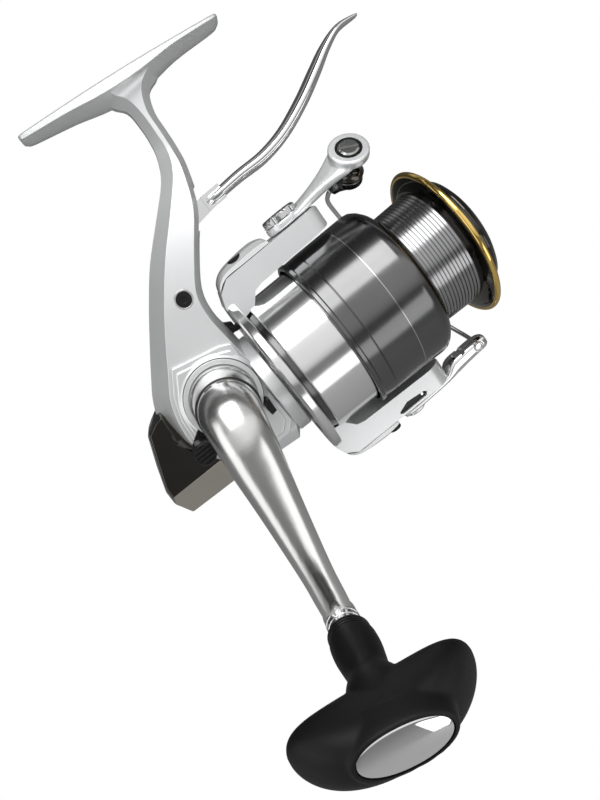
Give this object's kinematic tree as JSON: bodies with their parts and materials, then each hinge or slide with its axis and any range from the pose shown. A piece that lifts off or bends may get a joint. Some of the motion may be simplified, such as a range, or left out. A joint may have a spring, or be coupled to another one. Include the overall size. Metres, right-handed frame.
{
  "type": "spinning reel",
  "caption": "Spinning reel with a lever brake: rod foot and stem, T-handle crank, rotor with bail and line roller, and a spool with front drag.",
  "frame": {"origin": "centre of the foot's flat top, the face that bears on the rod", "axes": "+Z out of the foot's top into the rod, +X towards the rod tip, handle on the -Y side"},
  "size_m": [0.1157, 0.1371, 0.148],
  "materials": {
    "silver_paint": "satin silver paint",
    "satin_metal": "satin anodised",
    "polished": "mirror polish",
    "bright_rotor": "polished, fine turning lines",
    "dark_chrome": "dark mirror",
    "black_plastic": "semi gloss",
    "soft_touch": "matte soft touch",
    "seal_rubber": "satin rubber",
    "steel": "ground steel",
    "brass": "machined brass",
    "gold": "polished gold",
    "gunmetal": "dark anodised",
    "spring_steel": "spring wire",
    "drag_felt": "oiled felt and steel",
    "black_screw": "black oxide"
  },
  "bodies": {
    "frame": {"body": "silver_paint", "right_cover": "silver_paint", "left_cover": "silver_paint", "tail_guard": "dark_chrome", "cover_screws": "steel", "stem_screw": "black_screw", "right_bearing": "steel", "left_bearing": "steel", "left_cap": "satin_metal", "lever_pin": "steel", "lever_spring": "spring_steel", "pinion_bearing": "steel", "one_way_clutch": "steel"},
    "crank": {"drive_gear": "brass", "drive_shaft": "steel", "handle_collar": "satin_metal", "handle_seal": "seal_rubber", "handle_screw": "brass", "handle_arm": "satin_metal", "arm_ferrule": "polished", "knob_shaft": "steel", "knob_screw": "steel"},
    "grip_knob": {"knob_collar": "soft_touch", "knob": "soft_touch", "knob_bearings": "steel", "knob_plate": "polished"},
    "reverse": {"reverse_lever": "black_plastic"},
    "lever": {"brake_lever": "polished"},
    "rod": {"brake_rod": "steel", "brake_shoe": "black_plastic"},
    "crosswind": {"crosswind_gear": "brass"},
    "rotor_set": {"pinion": "brass", "rotor": "bright_rotor", "rotor_nut": "brass", "brake_drum": "steel", "upper_arm_cover": "satin_metal", "lower_arm_cover": "satin_metal", "arm_cover_screws": "black_screw", "bail_spring": "spring_steel", "bail_pivots": "polished"},
    "bail": {"bail_arm": "satin_metal", "wire_holder": "dark_chrome", "bail_wire": "steel", "bail_lever": "polished", "roller_screw": "steel", "roller_bushing": "steel"},
    "roller": {"line_roller": "dark_chrome"},
    "shaft": {"main_shaft": "steel", "slider": "brass"},
    "spool_set": {"spool": "gunmetal", "lip_ring": "gold", "spool_sleeve": "steel", "drag_washers": "drag_felt", "drag_clip": "spring_steel"},
    "drag": {"drag_knob": "gunmetal", "drag_spring": "spring_steel"}
  },
  "joints": [
    {"name": "handle_turn", "type": "hinge", "parent": "frame", "child": "crank", "pos_m": [-0.01998, 0, -0.08039], "axis": [0, -1, 0], "continuous": true},
    {"name": "rotor_turn", "type": "hinge", "parent": "frame", "child": "rotor_set", "pos_m": [0.01085, 0, -0.08471], "axis": [0.9914, 0, 0.1305], "continuous": true},
    {"name": "crosswind_turn", "type": "hinge", "parent": "frame", "child": "crosswind", "pos_m": [-0.02268, 0, -0.09054], "axis": [0, -1, 0], "continuous": true},
    {"name": "spool_stroke", "type": "slide", "parent": "frame", "child": "shaft", "axis": [0.9914, 0, 0.1305], "range_m": [-0.006, 0.006]},
    {"name": "spool_spin", "type": "hinge", "parent": "shaft", "child": "spool_set", "pos_m": [0.04059, 0, -0.08079], "axis": [0.9914, 0, 0.1305], "continuous": true},
    {"name": "drag_knob_turn", "type": "hinge", "parent": "shaft", "child": "drag", "pos_m": [0.06042, 0, -0.07818], "axis": [0.9914, 0, 0.1305], "range_deg": [-360, 360]},
    {"name": "bail_swing", "type": "hinge", "parent": "rotor_set", "child": "bail", "pos_m": [0.02374, 0, -0.08301], "axis": [0.1305, 0, -0.9914], "range_deg": [0, 90]},
    {"name": "roller_spin", "type": "hinge", "parent": "bail", "child": "roller", "pos_m": [0.04217, -0.00178, -0.04615], "axis": [-0.1225, 0.7317, -0.6705], "continuous": true},
    {"name": "lever_pull", "type": "hinge", "parent": "frame", "child": "lever", "pos_m": [-0.00305, 0, -0.03661], "axis": [0, -1, 0], "range_deg": [0, 11], "stiffness_Nm_per_rad": 0.08, "springref_deg": -5.73},
    {"name": "rod_push", "type": "slide", "parent": "frame", "child": "rod", "axis": [-0.1621, 0, -0.9868], "range_m": [0, 0.001]},
    {"name": "reverse_switch", "type": "hinge", "parent": "frame", "child": "reverse", "pos_m": [-0.01998, 0, -0.08039], "axis": [0, 1, 0], "range_deg": [0, 20]},
    {"name": "knob_spin", "type": "hinge", "parent": "crank", "child": "grip_knob", "pos_m": [-0.02369, -0.065, -0.13787], "axis": [0, -1, 0], "continuous": true}
  ],
  "couplings": [
    {"joint": "rotor_turn", "follows": "handle_turn", "ratio": 4.6},
    {"joint": "crosswind_turn", "follows": "handle_turn", "ratio": -0.5},
    {"joint": "rod_push", "follows": "lever_pull", "m_per_rad": 0.005}
  ]
}
